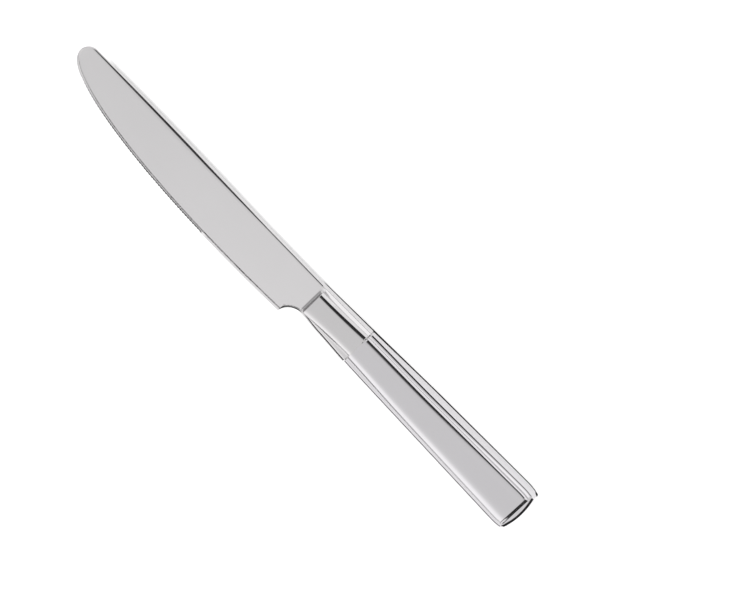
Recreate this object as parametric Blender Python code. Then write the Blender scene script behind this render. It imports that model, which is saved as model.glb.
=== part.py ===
"""Dessert knife with a hollow handle, lying on its back.

Blade, bolster and tang are one forging, lofted from the tip to the end of the tang. The handle is two stamped
half shells from one die, with braze along the seam and at the mouth, and cement in the hollow round the tang.

Lengths are metres. X runs along the knife towards the tip, Y towards the cutting edge and Z up. The handle's
mouth is at X = 0 and the knife's middle plane at Z = 0 until the knife is set down on its back panel.
"""

import math

import bmesh
import bpy

# Lengths along the knife
BLADE_LENGTH = 0.1126
BOLSTER_LENGTH = 0.0206
HANDLE_LENGTH = 0.0766

# Outline of the blade, seen on its face
SHOULDER_WIDTH = 0.0126  # across the blade's root
SPINE_BOW = 0.00055  # how far the spine stands out half way along its bow
BOW_LENGTH = 0.0850  # length of the spine's bow, from the tip
TIP_RADIUS = 0.0036  # from the spine round to the foremost point
BELLY_DEPTH = 0.0123  # cutting edge below the knife's axis, where the blade is widest
BELLY_SETBACK = 0.0760  # widest place, from the tip
EDGE_FULLNESS = 2.3  # 2 draws the front of the edge as an ellipse, more makes it blunter
HEEL_RISE = 0.0010  # cutting edge at the heel, above the belly
HEEL_RADIUS = 0.0064  # hollow behind the heel

# Thickness of the blade
SPINE_THICKNESS = 0.0025
TIP_THICKNESS = 0.0010
GRIND_THICKNESS = 0.0006  # where the flat of the blade meets the edge bevel
EDGE_THICKNESS = 0.0002
EDGE_BEVEL = 0.0006
SPINE_CHAMFER = 0.0002

# Fine teeth along the front of the cutting edge
TOOTH_PITCH = 0.0012
TOOTH_DEPTH = 0.00025
TEETH_SETBACK = 0.0062  # first tooth, from the tip
TEETH_LENGTH = 0.0636

# Bolster, which has the handle's own width and thickness where the two meet
COVE_LENGTH = 0.0016  # hollow step up from the blade's flat
SHOULDER_THICKNESS = 0.0068
SHOULDER_LEDGE = 0.0013  # rim of the raised face from the edge side, at the front
LEDGE_SWELL = 0.0006  # what that grows by half way along
CREASE_INSET = 0.0021  # rim of the raised face from the spine side
CREASE_SWELL = 0.0003  # what that grows by half way along
BLOCK_RUN = 0.0006  # raised face's sloping walls, seen on the face
WAIST_THICKNESS = 0.0053
WAIST_SETBACK = 0.0055  # thinnest place, in front of the handle's mouth

# Handle
BUTT_WIDTH = 0.0166
BODY_THICKNESS = 0.0080
SWELL_LENGTH = 0.0360  # from the waist back to the full thickness
LEDGE_WIDTH = 0.00155
STEP_RUN = 0.00045  # panel's sloping side walls, seen on the face
END_RUN = 0.0012  # panel's sloping end at the butt
STEP_HEIGHT = 0.0013
CORNER_RUN = 0.0010  # rounded outer corner of the ledge, in from the side
CORNER_DROP = 0.0005  # the same corner, down the side
PANEL_ROLL = 0.00041  # fall of the panel's borders below its flat
PANEL_FLAT = 0.3  # share of the panel's width that is flat
BUTT_BAND = 0.0020  # rounded band behind the panel, on the axis
BAND_CROWN = 0.00025  # how far the band stands over the ledges on the axis
BUTT_BULGE = 0.0014  # how far the butt stands out on the axis, beyond its corners
BUTT_FLAT = 0.40  # share of the band's length that stays level
BUTT_FACE = 0.60  # share of the band's height that is an upright end face
CORNER_DRAW = 0.0005  # how far the sides curve in at the butt
CORNER_LENGTH = 0.0042

# Inside of the handle
WALL = 0.0008
SEAM_BRAZE = 0.0002
MOUTH_BRAZE = 0.0002
BOND_GAP = 0.0002

# Tang
TANG_LENGTH = 0.0520
TANG_WIDTH = 0.0058
TANG_TAPER = 0.0018  # loss of width over its length
TANG_THICKNESS = 0.0022
TANG_CHAMFER = 0.0003
NOTCH_COUNT = 3
NOTCH_PITCH = 0.0130
NOTCH_LENGTH = 0.0036
NOTCH_DEPTH = 0.0008

# Steps in which curves are drawn
TIP_STEPS = 8
NOSE_STEP = 0.25  # share of a step at which the rounded tip is cut off flat
PLAIN_EDGE_STEPS = 8
HEEL_STEPS = 9
COVE_STEPS = 6
BOLSTER_STEPS = 8
SWELL_STEPS = 12
CORNER_STEPS = 4
BUTT_STEPS = 7
ROUND_STEPS = 3

# Places along the knife
BOLSTER_REAR = MOUTH_BRAZE
BOLSTER_FRONT = BOLSTER_REAR + BOLSTER_LENGTH
TIP = BOLSTER_FRONT + BLADE_LENGTH
WAIST = BOLSTER_REAR + WAIST_SETBACK
SWELL_END = WAIST - SWELL_LENGTH
BAND_FRONT = BUTT_BAND - HANDLE_LENGTH
PANEL_END = BAND_FRONT + END_RUN
TEETH_END = TEETH_SETBACK + TEETH_LENGTH
SPINE = -SHOULDER_WIDTH / 2
FOREMOST = SPINE + TIP_RADIUS


def mix(first, second, share):
    """Value that lies the given share of the way from the first to the second."""
    return first + (second - first) * share


def half_width(x):
    """Half of the bolster's and handle's width: straight flanks, which curve in over the last stretch."""
    along = (BOLSTER_FRONT - x) / (BOLSTER_FRONT - PANEL_END)
    drawn = max(0.0, (CORNER_LENGTH - HANDLE_LENGTH - x) / CORNER_LENGTH)
    return mix(SHOULDER_WIDTH, BUTT_WIDTH, along) / 2 - CORNER_DRAW * drawn**2


def half_thickness(x):
    """Half of the bolster's and handle's thickness: a waist that swells both ways."""
    if x >= WAIST:
        share = ((x - WAIST) / (BOLSTER_FRONT - WAIST)) ** 2
        return mix(WAIST_THICKNESS, SHOULDER_THICKNESS, share) / 2
    back = min((WAIST - x) / SWELL_LENGTH, 1.0)
    return mix(WAIST_THICKNESS, BODY_THICKNESS, back**2 * (3 - 2 * back)) / 2


def crown(spine_half, edge_half):
    """Offsets and falls of points across a panel, spine side first: a flat with borders that roll off."""
    spine_side, edge_side = [], []
    for roll in (1.0, 0.75, 0.5, 0.0):
        across = mix(PANEL_FLAT, 1.0, roll)
        fall = PANEL_ROLL * roll**3
        spine_side.append((-spine_half * across, fall))
        edge_side.append((edge_half * across, fall))
    return spine_side + [(0.0, 0.0)] + list(reversed(edge_side))


def spread(low, high):
    """Offsets across a plain face, as many as a ledged section has between its sides."""
    shares = [0.0] + [0.5 + 0.4 * y for y, _ in crown(1.0, 1.0)] + [1.0]
    return [mix(low, high, share) for share in shares]


def spine_line(d):
    """Y of the spine at a distance d behind the tip."""
    line = SPINE - SPINE_BOW * math.sin(math.pi * min(d / BOW_LENGTH, 1.0))
    ahead = max(TIP_RADIUS - d, 0.0)
    return line + TIP_RADIUS - math.sqrt(TIP_RADIUS**2 - ahead**2)


def edge_line(d):
    """Y of the cutting edge at a distance d behind the tip, as if it ran on past the heel."""
    if d < BELLY_SETBACK:
        share = (1 - (1 - d / BELLY_SETBACK) ** 2) ** (1 / EDGE_FULLNESS)
        return mix(FOREMOST, BELLY_DEPTH, share)
    return BELLY_DEPTH - HEEL_RISE * ((d - BELLY_SETBACK) / (BLADE_LENGTH - BELLY_SETBACK)) ** 2


def heel_line(d):
    """Y of the hollow behind the heel, an arc that runs out on the bolster's flank."""
    back = min(BLADE_LENGTH - d, HEEL_RADIUS)
    return SHOULDER_WIDTH / 2 + HEEL_RADIUS - math.sqrt(HEEL_RADIUS**2 - back**2)


def heel_corner():
    """Distance behind the tip where the cutting edge meets the hollow, found by halving."""
    near, far = BLADE_LENGTH - HEEL_RADIUS, BLADE_LENGTH
    for _ in range(40):
        middle = (near + far) / 2
        if heel_line(middle) > edge_line(middle):
            near = middle
        else:
            far = middle
    return far


HEEL = heel_corner()


def face_height(d, y):
    """Half of the blade's thickness at a point of its flat: a straight wedge from spine to edge."""
    thick = mix(TIP_THICKNESS, SPINE_THICKNESS, 1 - (1 - d / BLADE_LENGTH) ** 2)
    share = (edge_line(d) - y) / (edge_line(d) - spine_line(d))
    return mix(GRIND_THICKNESS, thick, share) / 2


def tooth_valley(d):
    """True half way between two teeth."""
    return round(2 * (d - TEETH_SETBACK) / TOOTH_PITCH) % 2 == 1


def blade_half(d):
    """Upper half of the blade's section, from the spine to the edge, as (y, z) points."""
    spine = spine_line(d)
    edge = edge_line(d)
    bevel = EDGE_BEVEL
    blunt = EDGE_THICKNESS / 2
    if d > HEEL:
        edge = heel_line(d)
        bevel = SPINE_CHAMFER
        blunt = face_height(d, edge) - SPINE_CHAMFER / 2
    width = edge - spine
    chamfer = min(SPINE_CHAMFER, width / 8)
    bevel = min(bevel, width / 4)
    low = spine + chamfer
    high = edge - bevel
    flat = [(y, face_height(d, y)) for y in spread(low, high)]
    if TEETH_SETBACK <= d <= TEETH_END and tooth_valley(d):
        edge -= TOOTH_DEPTH
    return [(spine, face_height(d, low) - chamfer)] + flat + [(edge, blunt)]


def bolster_half(x):
    """Upper half of the bolster's section: a crowned face over two ledges, which run on into the handle's."""
    along = (BOLSTER_FRONT - x) / BOLSTER_LENGTH
    half = half_width(x)
    top = half_thickness(x)
    swell = 4 * along * (1 - along)
    spine_half = half - CREASE_INSET - CREASE_SWELL * swell
    edge_half = half - mix(SHOULDER_LEDGE, LEDGE_WIDTH + STEP_RUN, along) - LEDGE_SWELL * swell
    ledge = mix(SPINE_THICKNESS / 2 - SPINE_CHAMFER, half_thickness(BOLSTER_REAR) - STEP_HEIGHT, along)
    face = [(y, top - fall) for y, fall in crown(spine_half, edge_half)]
    spine_side = [(-half, ledge), (-spine_half - BLOCK_RUN, ledge)]
    edge_side = [(edge_half + BLOCK_RUN, ledge), (half, ledge)]
    return spine_side + face + edge_side


def cove_half(share):
    """Upper half of the section in the cove, which leaves the blade flat and ends upright at the bolster."""
    blade = blade_half(BLADE_LENGTH - COVE_LENGTH * (1 - share))
    bolster = bolster_half(BOLSTER_FRONT)
    lift = 1 - math.sqrt(1 - share**2)
    half = []
    for index, (near, far) in enumerate(zip(blade, bolster)):
        on_ledge = index in (0, 1, len(blade) - 2, len(blade) - 1)
        half.append((mix(near[0], far[0], share), mix(near[1], far[1], share if on_ledge else lift)))
    return half


def notch_depth(d):
    """Depth of the tang's side notches at a distance d behind the bolster, as straight vees."""
    deepest = 0.0
    for index in range(1, NOTCH_COUNT + 1):
        away = abs(d - index * NOTCH_PITCH) / (NOTCH_LENGTH / 2)
        deepest = max(deepest, NOTCH_DEPTH * (1 - away))
    return deepest


def tang_half(d, gap=0.0):
    """Upper half of the tang's section at a distance d behind the bolster, grown by a gap for its socket."""
    half = (TANG_WIDTH - TANG_TAPER * d / TANG_LENGTH) / 2 - notch_depth(d) + gap
    top = TANG_THICKNESS / 2 + gap
    face = [(y, top) for y in spread(TANG_CHAMFER - half, half - TANG_CHAMFER)]
    return [(-half, top - TANG_CHAMFER)] + face + [(half, top - TANG_CHAMFER)]


def tang_stations():
    """Distances behind the bolster where the tang's width turns."""
    places = [0.0, TANG_LENGTH]
    for index in range(1, NOTCH_COUNT + 1):
        middle = index * NOTCH_PITCH
        places += [middle - NOTCH_LENGTH / 2, middle, middle + NOTCH_LENGTH / 2]
    return sorted(places)


def ring(x, half):
    """Closed section at x from its upper half, with the lower half as its mirror image."""
    upper = [(x, y, z) for y, z in half]
    return upper + [(x, y, -z) for y, z in reversed(half)]


def blade_stations():
    """Distances behind the tip at which the blade's section is drawn, up to the cove."""
    places = []
    for step in [NOSE_STEP] + list(range(1, TIP_STEPS + 1)):
        places.append(TIP_RADIUS * (1 - math.cos(math.pi / 2 * step / TIP_STEPS)))
    places.append((TIP_RADIUS + TEETH_SETBACK) / 2)
    for step in range(int(round(2 * TEETH_LENGTH / TOOTH_PITCH)) + 1):
        places.append(TEETH_SETBACK + step * TOOTH_PITCH / 2)
    last_tooth = places[-1]
    for step in range(1, PLAIN_EDGE_STEPS + 1):
        places.append(mix(last_tooth, HEEL, step / PLAIN_EDGE_STEPS))
    steep = math.asin((BLADE_LENGTH - HEEL) / HEEL_RADIUS)
    shallow = math.asin(COVE_LENGTH / HEEL_RADIUS)
    for step in range(1, HEEL_STEPS + 1):
        angle = mix(steep, shallow, step / HEEL_STEPS)
        places.append(BLADE_LENGTH - HEEL_RADIUS * math.sin(angle))
    return places


def forging_rings():
    """Sections of the whole forging, from the tip to the end of the tang."""
    rings = [ring(TIP - d, blade_half(d)) for d in blade_stations()]
    for step in range(1, COVE_STEPS + 1):
        share = math.sin(math.pi / 2 * step / COVE_STEPS)
        rings.append(ring(BOLSTER_FRONT + COVE_LENGTH * (1 - share), cove_half(share)))
    for step in range(1, BOLSTER_STEPS + 1):
        x = mix(BOLSTER_FRONT, BOLSTER_REAR, step / BOLSTER_STEPS)
        rings.append(ring(x, bolster_half(x)))
    return rings + [ring(BOLSTER_REAR - d, tang_half(d)) for d in tang_stations()]


def socket_rings():
    """Sections of the room that the cement leaves for the tang, open at the bolster."""
    stations = tang_stations()
    rings = [ring(BOLSTER_REAR + WALL, tang_half(0.0, BOND_GAP))]
    rings += [ring(BOLSTER_REAR - d, tang_half(d, BOND_GAP)) for d in stations]
    return rings + [ring(BOLSTER_REAR - TANG_LENGTH - BOND_GAP, tang_half(TANG_LENGTH, BOND_GAP))]


def handle_half(x, panel_rise=STEP_HEIGHT):
    """Upper half of the handle's section without its seam: side, rounded corner, ledge, step and panel."""
    half = half_width(x)
    ledge = half_thickness(x) - STEP_HEIGHT
    side = []
    for step in range(ROUND_STEPS + 1):
        turn = math.pi / 2 * step / ROUND_STEPS
        y = half - CORNER_RUN * (1 - math.cos(turn))
        side.append((y, ledge - CORNER_DROP * (1 - math.sin(turn))))
    side.append((half - LEDGE_WIDTH, ledge))
    panel = []
    rim = half - LEDGE_WIDTH - STEP_RUN
    for y, fall in crown(rim, rim):
        band = BAND_CROWN * (1 - (y / rim) ** 2)
        panel.append((y, ledge + max(panel_rise * (1 - fall / STEP_HEIGHT), band)))
    return [(-y, z) for y, z in side] + panel + list(reversed(side))


def handle_stations():
    """Places from the mouth to the panel's end where the handle's section is drawn."""
    places = [mix(0.0, SWELL_END, step / SWELL_STEPS) for step in range(SWELL_STEPS + 1)]
    corner = CORNER_LENGTH - HANDLE_LENGTH
    places += [mix(corner, PANEL_END, step / CORNER_STEPS) for step in range(CORNER_STEPS + 1)]
    return places


def butt_reach(y):
    """Length of the rounded band behind the panel, longest on the axis."""
    return BUTT_BAND - BUTT_BULGE * (y / half_width(-HANDLE_LENGTH)) ** 2


def butt_path():
    """Shares of the band's length and height round the butt: level, a quarter round, an upright face."""
    path = [(0.0, 1.0)]
    for step in range(BUTT_STEPS + 1):
        turn = math.pi / 2 * step / BUTT_STEPS
        path.append((mix(BUTT_FLAT, 1.0, math.sin(turn)), mix(BUTT_FACE, 1.0, math.cos(turn))))
    return path + [(1.0, 0.0)]


def shell_rings():
    """Sections of one half of the handle as a solid, from its mouth to the butt, flat on the seam."""
    seam = SEAM_BRAZE / 2
    rings = []
    for x in handle_stations():
        half = handle_half(x)
        path = [(half[0][0], seam)] + half + [(half[-1][0], seam)]
        rings.append([(x, y, z) for y, z in path])
    for share, height in butt_path():
        half = handle_half(mix(BAND_FRONT, -HANDLE_LENGTH, share), panel_rise=0.0)
        path = [(half[0][0], seam)] + half + [(half[-1][0], seam)]
        rings.append([(BAND_FRONT - share * butt_reach(y), y, mix(seam, z, height)) for y, z in path])
    return rings


def seam_outline():
    """Outline of the handle on its middle plane, taken from the shell's own lower corners."""
    rings = shell_rings()
    spine_side = [points[0][:2] for points in rings[:-1]]
    edge_side = [points[-1][:2] for points in rings[:-1]]
    butt = [points[:2] for points in rings[-1]]
    return spine_side + butt + list(reversed(edge_side))


def cavity_half(x, gap):
    """Upper half of the hollow's section: the handle's own steps, one wall further in."""
    half = half_width(x) - WALL - gap
    inner = half_width(x) - LEDGE_WIDTH - STEP_RUN / 2 - WALL - gap
    panel = half_thickness(x) - WALL - gap
    ledge = panel - STEP_HEIGHT
    side = [(half, ledge), (inner, ledge), (inner, panel)]
    return [(-y, z) for y, z in side] + list(reversed(side))


def cavity_rings(front, gap=0.0):
    """Sections of the hollow from a place at or before the mouth to the panel's end wall."""
    end = PANEL_END + WALL + gap
    places = [front] + [x for x in handle_stations() if end < x < 0.0] + [end]
    return [ring(x, cavity_half(x, gap)) for x in places]


def finish(name, bm, material, parent):
    """Puts a bmesh into a new named object with its material, under the knife's own empty."""
    bmesh.ops.remove_doubles(bm, verts=bm.verts, dist=1e-7)
    bmesh.ops.triangulate(bm, faces=bm.faces)
    bmesh.ops.recalc_face_normals(bm, faces=bm.faces)
    mesh = bpy.data.meshes.new(name)
    bm.to_mesh(mesh)
    bm.free()
    mesh.shade_smooth()
    mesh.set_sharp_from_angle(angle=math.radians(20))
    mesh.materials.append(material)
    return place(name, mesh, parent)


def place(name, mesh, parent):
    """Adds an object that holds a mesh, under the knife's own empty."""
    made = bpy.data.objects.new(name, mesh)
    bpy.context.collection.objects.link(made)
    made.parent = parent
    return made


def loft(name, rings, material, parent):
    """Solid through a row of sections with equal counts of points, closed at both ends."""
    bm = bmesh.new()
    rows = [[bm.verts.new(point) for point in points] for points in rings]
    count = len(rows[0])
    for near, far in zip(rows, rows[1:]):
        for index in range(count):
            following = (index + 1) % count
            bm.faces.new((near[index], near[following], far[following], far[index]))
    bm.faces.new(reversed(rows[0]))
    bm.faces.new(rows[-1])
    return finish(name, bm, material, parent)


def plate(name, outline, bottom, thickness, material, parent):
    """Flat solid with the given outline, drawn at its bottom and extruded upwards."""
    bm = bmesh.new()
    face = bm.faces.new([bm.verts.new((x, y, bottom)) for x, y in outline])
    raised = bmesh.ops.extrude_face_region(bm, geom=[face])
    tops = [item for item in raised["geom"] if isinstance(item, bmesh.types.BMVert)]
    bmesh.ops.translate(bm, verts=tops, vec=(0.0, 0.0, thickness))
    return finish(name, bm, material, parent)


def cutter(name, rings, material, parent):
    """Loft that only cuts other pieces."""
    made = loft(name, rings, material, parent)
    made.hide_render = True
    made.display_type = "WIRE"
    return made


def subtract(target, tool):
    """Cuts one object out of another and leaves the cut live."""
    cut = target.modifiers.new("cut_" + tool.name, "BOOLEAN")
    cut.operation = "DIFFERENCE"
    cut.solver = "EXACT"
    cut.object = tool


def steel(name, colour, roughness, metallic=1.0):
    """Principled material in one colour."""
    material = bpy.data.materials.new(name)
    material.use_nodes = True
    shader = material.node_tree.nodes["Principled BSDF"]
    shader.inputs["Base Color"].default_value = (*colour, 1.0)
    shader.inputs["Roughness"].default_value = roughness
    shader.inputs["Metallic"].default_value = metallic
    return material


def main():
    for old in list(bpy.data.objects):
        bpy.data.objects.remove(old, do_unlink=True)

    knife = bpy.data.objects.new("knife", None)
    bpy.context.collection.objects.link(knife)

    blade_steel = steel("blade_steel", (0.63, 0.63, 0.63), 0.22)
    shell_steel = steel("shell_steel", (0.64, 0.63, 0.62), 0.14)
    braze = steel("braze", (0.66, 0.63, 0.57), 0.30)
    cement = steel("cement", (0.42, 0.40, 0.37), 0.90, metallic=0.0)

    hollow = cutter("hollow_cutter", cavity_rings(BOLSTER_REAR + WALL), cement, knife)
    socket = cutter("socket_cutter", socket_rings(), cement, knife)

    loft("blade", forging_rings(), blade_steel, knife)

    front = loft("handle_front_shell", shell_rings(), shell_steel, knife)
    back = place("handle_back_shell", front.data, knife)
    back.rotation_euler = (math.pi, 0.0, 0.0)
    seam = plate("seam_braze", seam_outline(), -SEAM_BRAZE / 2, SEAM_BRAZE, braze, knife)
    mouth = handle_half(0.0)
    mouth_rings = [ring(BOLSTER_REAR, mouth), ring(0.0, mouth)]
    joint = loft("bolster_braze", mouth_rings, braze, knife)
    for piece in (front, back, seam, joint):
        subtract(piece, hollow)

    filling = loft("handle_cement", cavity_rings(0.0, BOND_GAP), cement, knife)
    subtract(filling, socket)

    flat_middle = (SWELL_END + PANEL_END) / 2
    knife.location = (-flat_middle, 0.0, BODY_THICKNESS / 2)


main()
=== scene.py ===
"""Dessert knife: the finished surfaces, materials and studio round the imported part.

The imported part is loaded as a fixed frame. Each piece that shows is then made again as a fine surface over
it: sections are worked out as whole arrays, one row of points for each station along the knife, and skinned.
Lengths are in metres. X runs from the butt to the tip, Y from the spine to the cutting edge, Z up.
Heights in the section formulas count from the knife's middle plane.
"""

import math

import bmesh
import bpy
import numpy as np
from bpy.props import FloatProperty, FloatVectorProperty, PointerProperty
from mathutils import Matrix, Vector


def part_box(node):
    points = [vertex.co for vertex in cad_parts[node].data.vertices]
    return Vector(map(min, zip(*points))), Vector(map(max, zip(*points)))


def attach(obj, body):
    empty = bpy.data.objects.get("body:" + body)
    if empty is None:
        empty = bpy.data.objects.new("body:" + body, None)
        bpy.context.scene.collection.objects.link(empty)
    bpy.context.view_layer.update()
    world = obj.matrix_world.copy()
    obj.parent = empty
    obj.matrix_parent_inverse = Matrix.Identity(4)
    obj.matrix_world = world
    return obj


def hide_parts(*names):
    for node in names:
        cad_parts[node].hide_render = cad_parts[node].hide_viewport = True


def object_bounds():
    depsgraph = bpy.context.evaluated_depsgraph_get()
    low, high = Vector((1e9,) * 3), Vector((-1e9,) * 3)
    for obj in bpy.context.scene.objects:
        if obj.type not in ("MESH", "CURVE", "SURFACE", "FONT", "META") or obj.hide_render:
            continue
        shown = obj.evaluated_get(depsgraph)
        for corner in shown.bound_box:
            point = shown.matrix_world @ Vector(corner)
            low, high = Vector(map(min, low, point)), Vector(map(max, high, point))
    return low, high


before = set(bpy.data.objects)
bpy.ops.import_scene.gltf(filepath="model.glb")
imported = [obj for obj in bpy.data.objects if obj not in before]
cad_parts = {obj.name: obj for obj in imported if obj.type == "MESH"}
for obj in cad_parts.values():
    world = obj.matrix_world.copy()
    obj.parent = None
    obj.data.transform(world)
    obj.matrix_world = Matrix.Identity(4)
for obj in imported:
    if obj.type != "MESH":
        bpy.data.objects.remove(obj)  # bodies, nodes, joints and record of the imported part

bl_info = {
    "name": "Dessert Knife",
    "version": (1, 0, 0),
    "blender": (4, 2, 0),
    "location": "View3D > Sidebar > Knife",
    "description": "Makes the finished surfaces of a hollow-handled dessert knife and a studio to show it in",
    "category": "Object",
}

# Places read from the frame
CAD_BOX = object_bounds()
SHELL_LOW, SHELL_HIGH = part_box("handle_front_shell")
SEAM_LOW, SEAM_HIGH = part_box("seam_braze")
TANG_END, TIP = [corner.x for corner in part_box("blade")]
BOLSTER_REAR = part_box("bolster_braze")[1].x
WAIST = BOLSTER_REAR + 0.0055  # thinnest place of the grip
MOUTH = SHELL_HIGH.x
BUTT = SHELL_LOW.x
MIDDLE = (SEAM_LOW.z + SEAM_HIGH.z) / 2.0
SEAM = (SEAM_HIGH.z - SEAM_LOW.z) / 2.0

# Blade: outline
EDGE_FULLNESS = 2.3
BELLY_DEPTH = 0.0123
HEEL_RISE = 0.0009
SPINE_BOW = 0.00055
BOW_LENGTH = 0.085
TEETH_SETBACK = 0.0062

# Blade: thickness, rounded spine and ground edge
TIP_THICKNESS = 0.0010
GRIND_THICKNESS = 0.0006
EDGE_THICKNESS = 0.00012
PLAIN_THICKNESS = 0.00054
TOOTH_BEVEL = 0.00070
BEVEL_MARGIN = 0.0003
WIDTH_LIMIT = 0.25  # most of the width that the bevel or the rounded spine takes
FACE_SHARE = 0.6  # least of the width that lies behind the bevel
BOW_WIDENING = 2.0  # further reach of the round where the spine is bowed
BACK_FALL = 0.6  # fall of the round at the spine, as a share of its reach
BACK_LIMIT = 0.9  # most of the half thickness that the fall takes

# Blade: hollow behind the heel
HEEL_CHAMFER = 0.00060
HEEL_DROP = 0.00030
HEEL_LIMIT = 0.97  # share of the radius up to which the chamfer widens
HEEL_STEP = 0.00005
HEEL_TRIES = 4001
# Painted shade on the heel's chamfer: how many points of a section take it, from the edge, and its share at
# their border
DARK_POINTS = 7  # points of a section left dark, from the edge
DARK_BORDER = 0.6

# Cove and bolster
COVE_TOP = 0.90  # share of the cove's rise that its hollow takes
COVE_ROUND = 0.00022
SPINE_CHAMFER = 0.00005
SHOULDER_LEDGE = 0.0015
REAR_LEDGE = 0.0029
LEDGE_SWELL = 0.00015
CREASE_INSET = 0.0021
CREASE_SWELL = 0.0003
BOLSTER_RUN = 0.00075
REAR_RUN = 0.0003
EDGE_SWELL = 0.0004
SWELL_RUN = 0.008
FACET_START = 0.40  # share of the bolster where its facet starts to rise
FACET_RISE = 0.75
FACET_ROLL = 0.45
REAR_EASE = 0.00015
REAR_SINK = 0.00045

# Tang
TANG_WIDTH = 0.0058
TANG_TAPER = 0.0018
TANG_THICKNESS = 0.0022
TANG_CHAMFER = 0.0003
NOTCHES = 3
NOTCH_PITCH = 0.013
NOTCH_LENGTH = 0.0036
NOTCH_DEPTH = 0.0008

# Handle: sheet, panel and mouth
WALL = 0.0008
WALL_RUN = 0.00045
PANEL_FLAT = 0.30  # share of the panel that is flat
EDGE_ROLL = 0.80
FINE_FROM = (0.046, 0.007)  # from the butt: between these the spine side's corner turns finer
FINE_ROLL = (1.0, 0.78)
FINE_LEGS = (1.0, 0.42)
MOUTH_EASE = 0.00012
MOUTH_SINK = 0.00040
LINE_SINK = 0.00090  # of the braze at the mouth
SEAM_DIP = 0.03  # share of the sheet by which the seam's braze is sunk

# Handle: panel's end and butt
END_RUN = 0.0011
RAMP_STRAIGHT = 0.9  # how far the panel's end is straight, not eased
BAND_CROWN = 0.00033
BAND_RISE = 0.00012
CORNER_DRAW = 0.0010
CORNER_LENGTH = 0.0060
CORNER_MARGIN = 1.6  # corner lengths before the butt from which the rows lie closer
BUTT_BULGE = 0.0010
BULGE_LIMIT = 0.97
BUTT_PATH = ((0.0, 1.0), (0.50, 0.97), (1.0, 0.72), (1.0, 0.0))  # shares of the band and of the height
BUTT_BENDS = (0.15, 0.12, 0.88, 0.10)  # where the roundings of the path start and end on its legs

# Where an outline is drawn in: shares of the half width on both sides, and the edge side's part of it
SINK_SPINE = (0.35, 0.65)
SINK_EDGE = (0.55, 0.75)
SINK_SHARE = 0.7

# Legs of rounded corners: down the side, in on the ledge, at the wall's foot, below the rim, in on the face
# Then come how far the ledge's outer border stands above its foot, and the fullness of its corner.
SPINE_ROUND = (0.00055, 0.00115, 0.00010, 0.00014, 0.00028, 0.00020, 0.5)
EDGE_ROUND = (0.00026, 0.00070, 0.00010, 0.00012, 0.00015, -0.00012, 0.25)
CREASE_ROUND = (0.00012, 0.00015, 0.00005, 0.00036, 0.00068, 0.00022, 0.7)
FACET_ROUND = (0.00040, 0.00110, 0.00010, 0.00012, 0.00020, -0.00012, 0.25)
INNER_ROUND = (0.00020, 0.00020, 0.00010, 0.00010, 0.00020, 0.0, 0.7)

# Points of each stretch of a section, the sides' by their shares of the height
SIDE_SHARES = (0.0, 0.5)
STEP_SHARES = (0.0, 0.6)
CORNER_POINTS = 8
LEDGE_POINTS = 3
FOOT_POINTS = 5
RIM_POINTS = 6
CROWN_POINTS = 14
OUTER_POINTS = len(SIDE_SHARES) + CORNER_POINTS

# Rows along the forging and the handle
TIP_START = 0.08  # angle of the foremost row on the tip's round
TIP_ROWS = 26
NOSE_ROWS = 7
TOOTH_ROWS = 6
PLAIN_ROWS = 28
HEEL_ROWS = 28
COVE_ROWS = 14
OVER_ROWS = 8
BOLSTER_ROWS = 46
EASE_ROWS = 5
TANG_ROWS = 80
SWELL_ROWS = 48
PANEL_ROWS = 16
CLOSE_ROWS = 12
RAMP_ROWS = 17
BUTT_ROWS = (7, 9, 6, 7, 6)

# Meshes: distance under which points are merged, and angle over which an edge stays sharp
SAME_PLACE = 1.0e-8
SHARP_ANGLE = math.radians(34.0)

# Lines in the steel: scale along and across them, turn and detail
BRUSHED = ((55.0, 9000.0, 9000.0), 0.0, 3.0)
STRAY = ((130.0, 5200.0, 5200.0), 0.42, 2.0)
CROSS = ((170.0, 4300.0, 4300.0), -0.75, 2.0)
STRAY_RANGE = (0.70, 0.80)
CROSS_RANGE = (0.71, 0.80)
SMUDGE = (70.0, 4.0)

# What they do to the steel: range of each and roughness that it adds, and depth of the relief
BRUSH_ROUGHNESS = (0.25, 0.75, -0.03, 0.04)
SMUDGE_ROUGHNESS = (0.35, 0.70, -0.01, 0.04)
SCRATCH_ROUGHNESS = 0.06
SCRATCH_DEPTH = 0.15
STEEL_BUMP = {"Strength": 0.35, "Distance": 0.000004}
BLADE_BRUSHING = 1.0
HANDLE_BRUSHING = 0.12
BRAZE_BRUSHING = 0.3
BRIGHT_BRUSHING = 0.05
BRIGHT_ROUGHNESS = 0.09
BRAZE_ROUGHNESS = 0.20
# Painted shade: the dark colour that the heel's chamfer takes
CHAMFER_SHADE = (0.05, 0.05, 0.05, 1.0)

# Cement's grit
GRIT = (2200.0, 5.0)
GRIT_SHADE = (0.3, 0.7, 0.75, 1.15)
GRIT_BUMP = {"Strength": 0.5, "Distance": 0.0001}
CEMENT_ROUGHNESS = 0.85

# Plain colours
BLACK = (0.0, 0.0, 0.0, 1.0)
WHITE = (1.0, 1.0, 1.0, 1.0)

# Floor: its reach, and shades as ranges of distances from the outline with the light left at their ends
FLOOR_REACH = 4.0
FLOOR_ROUGHNESS = 0.9
SHADE_INSET = (0.00010, 0.00073)  # how far inside the outline they lie, at handle and shoulder
SHADE_MARGIN = 0.0003
SOFT_SHADE = (-0.0030, 0.0003, 0.30, 1.0)
LINE_PLACE = 0.0004
LINE_SHADE = (0.00035, 0.00050, 0.02, 1.0)
LINE_FADE = 0.001
SHOULDER_FADE = 0.004
BLADE_SHADE = (0.0002, 0.0011, 1.0, 0.64)
BLADE_START = 0.002
BLADE_SIDE = 0.004
TIP_FADE = (0.018, 0.008)

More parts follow.
